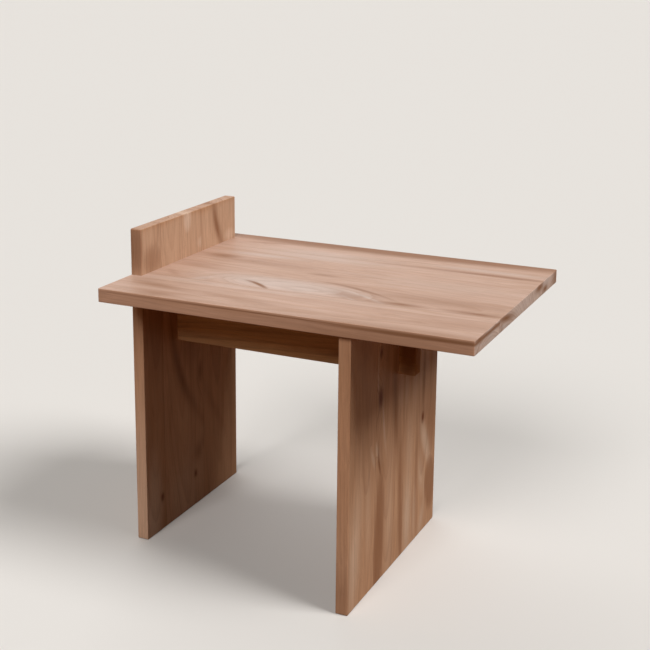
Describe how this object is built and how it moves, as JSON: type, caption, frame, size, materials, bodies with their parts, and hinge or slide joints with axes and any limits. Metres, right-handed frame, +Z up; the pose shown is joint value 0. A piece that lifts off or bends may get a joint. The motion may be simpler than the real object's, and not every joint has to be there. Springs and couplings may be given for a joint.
{
  "type": "low table",
  "caption": "Low side table of edge-glued wood boards on slab legs; the left leg rises through the top as a lip and a stretcher on edge ties the legs.",
  "frame": {"origin": "on the floor, under the middle of the top", "axes": "+X along the top, from the end with the raised lip; +Y from the near edge to the far edge; +Z up"},
  "size_m": [0.5, 0.358, 0.44],
  "materials": {
    "top_wood": "satin oiled wood, pinkish tan with pale grey cathedral figure",
    "left_leg_wood": "satin oiled wood, yellow brown with darker streaks",
    "right_leg_wood": "satin oiled wood, pinkish brown with vertical grain and knots",
    "stretcher_wood": "satin oiled wood, mid brown",
    "dowel_wood": "bare pale beech, fluted"
  },
  "bodies": {
    "root": {"top_board_near": "top_wood", "top_board_middle": "top_wood", "top_board_far": "top_wood", "left_leg_board_near": "left_leg_wood", "left_leg_board_middle": "left_leg_wood", "left_leg_board_far": "left_leg_wood", "right_leg_board_near": "right_leg_wood", "right_leg_board_middle": "right_leg_wood", "right_leg_board_far": "right_leg_wood", "stretcher": "stretcher_wood", "right_leg_dowel_1": "dowel_wood", "right_leg_dowel_2": "dowel_wood", "right_leg_dowel_3": "dowel_wood", "right_leg_dowel_4": "dowel_wood", "right_leg_dowel_5": "dowel_wood", "stretcher_dowel_1": "dowel_wood", "stretcher_dowel_2": "dowel_wood", "stretcher_dowel_3": "dowel_wood", "left_leg_dowel_1": "dowel_wood", "left_leg_dowel_2": "dowel_wood", "left_leg_dowel_3": "dowel_wood"}
  },
  "joints": []
}
